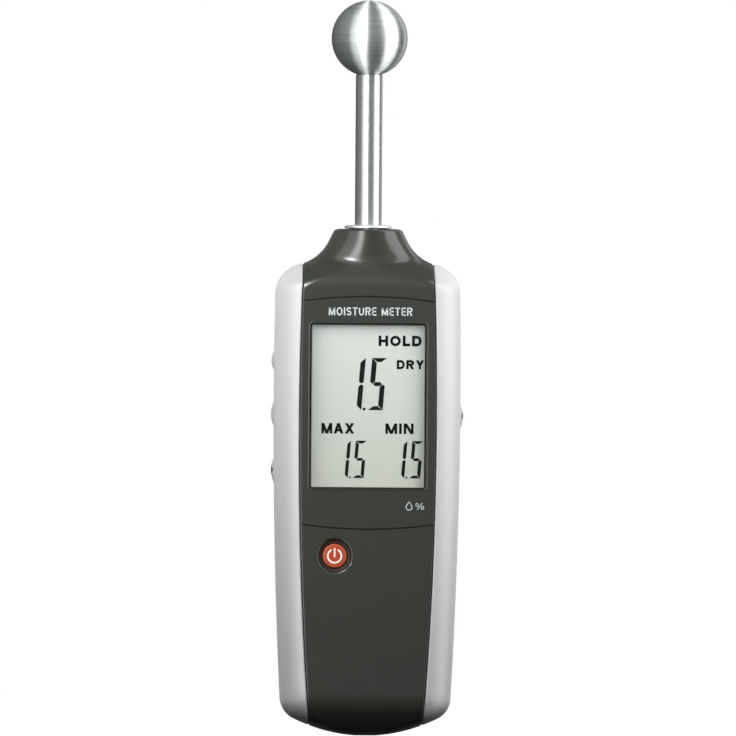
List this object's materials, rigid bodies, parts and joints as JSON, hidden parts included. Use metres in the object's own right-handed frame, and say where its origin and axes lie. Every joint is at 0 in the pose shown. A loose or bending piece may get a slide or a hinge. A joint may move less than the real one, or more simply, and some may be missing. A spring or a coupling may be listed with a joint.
{
  "type": "ball probe moisture meter",
  "caption": "Hand-held moisture meter with a steel ball probe on a stem, a display window, side buttons, a power button and a sliding battery door.",
  "frame": {"origin": "on the flat back, on the centre line, 100 mm above the bottom tip of the casing", "axes": "+Z along the casing towards the ball probe, +Y out of the flat back, so the display faces -Y and +X is to its right"},
  "size_m": [0.0614, 0.028, 0.235],
  "materials": {
    "dark_plastic": "fine-textured moulded ABS, dark olive grey",
    "silver_plastic": "satin silver-grey paint on moulded ABS",
    "button_grey": "soft-touch light grey",
    "power_orange": "satin orange-red with a white power symbol",
    "window_clear": "clear polished acrylic",
    "lcd_glass": "reflective liquid crystal display, pale grey green with near-black segments",
    "white_plastic": "natural nylon",
    "black_plastic": "moulded black",
    "rubber_black": "matte black",
    "circuit_board": "green solder mask",
    "brushed_steel": "turned and brushed stainless steel",
    "bright_steel": "nickel plated",
    "brass": "tinned brass sheet",
    "battery_wrap": "plain printed metal jacket",
    "red_wire": "PVC insulation",
    "yellow_wire": "PVC insulation"
  },
  "bodies": {
    "housing": {"amplifier_chip": "black_plastic", "backlight_panel": "white_plastic", "battery": "battery_wrap", "battery_connector": "white_plastic", "battery_lead_negative": "black_plastic", "battery_lead_positive": "red_wire", "battery_negative_terminal": "bright_steel", "battery_positive_terminal": "bright_steel", "battery_snap": "black_plastic", "board_screw_lower_left": "bright_steel", "board_screw_lower_right": "bright_steel", "board_screw_upper_left": "bright_steel", "board_screw_upper_right": "bright_steel", "buzzer": "black_plastic", "calibration_trimmer": "white_plastic", "case_screw_lower_left": "bright_steel", "case_screw_lower_right": "bright_steel", "case_screw_upper_left": "bright_steel", "case_screw_upper_right": "bright_steel", "display_bezel": "dark_plastic", "display_window": "window_clear", "filter_capacitor": "rubber_black", "front_cover": "dark_plastic", "lcd_frame": "black_plastic", "lcd_panel": "lcd_glass", "left_lower_switch_body": "black_plastic", "left_middle_switch_body": "black_plastic", "left_side_shell": "silver_plastic", "left_upper_switch_body": "black_plastic", "lower_contact_strip": "rubber_black", "main_circuit_board": "circuit_board", "microcontroller": "black_plastic", "neck_seal": "rubber_black", "power_switch_body": "black_plastic", "quartz_crystal": "bright_steel", "rear_cover": "dark_plastic", "right_side_shell": "silver_plastic", "right_switch_body": "black_plastic", "sensor_ball": "brushed_steel", "sensor_lead": "yellow_wire", "sensor_stem": "brushed_steel", "solder_lug": "brass", "stem_insulator": "white_plastic", "stem_nut": "bright_steel", "stem_washer": "bright_steel", "upper_contact_strip": "rubber_black"},
    "power_button": {"power_button": "power_orange", "power_switch_plunger": "white_plastic"},
    "left_upper_button": {"left_upper_button": "button_grey", "left_upper_switch_plunger": "white_plastic"},
    "left_middle_button": {"left_middle_button": "button_grey", "left_middle_switch_plunger": "white_plastic"},
    "left_lower_button": {"left_lower_button": "button_grey", "left_lower_switch_plunger": "white_plastic"},
    "right_button": {"right_button": "button_grey", "right_switch_plunger": "white_plastic"},
    "battery_door": {"battery_door": "dark_plastic"}
  },
  "joints": [
    {"name": "power_button_press", "type": "slide", "parent": "housing", "child": "power_button", "axis": [0, 1, 0], "range_m": [0, 0.0005], "stiffness_N_per_m": 800},
    {"name": "left_upper_button_press", "type": "slide", "parent": "housing", "child": "left_upper_button", "axis": [1, 0, 0], "range_m": [0, 0.0005], "stiffness_N_per_m": 800},
    {"name": "left_middle_button_press", "type": "slide", "parent": "housing", "child": "left_middle_button", "axis": [1, 0, 0], "range_m": [0, 0.0005], "stiffness_N_per_m": 800},
    {"name": "left_lower_button_press", "type": "slide", "parent": "housing", "child": "left_lower_button", "axis": [1, 0, 0], "range_m": [0, 0.0005], "stiffness_N_per_m": 800},
    {"name": "right_button_press", "type": "slide", "parent": "housing", "child": "right_button", "axis": [-1, 0, 0], "range_m": [0, 0.0005], "stiffness_N_per_m": 800},
    {"name": "battery_door_slide", "type": "slide", "parent": "housing", "child": "battery_door", "axis": [0, 0, -1], "range_m": [0, 0.062]}
  ]
}
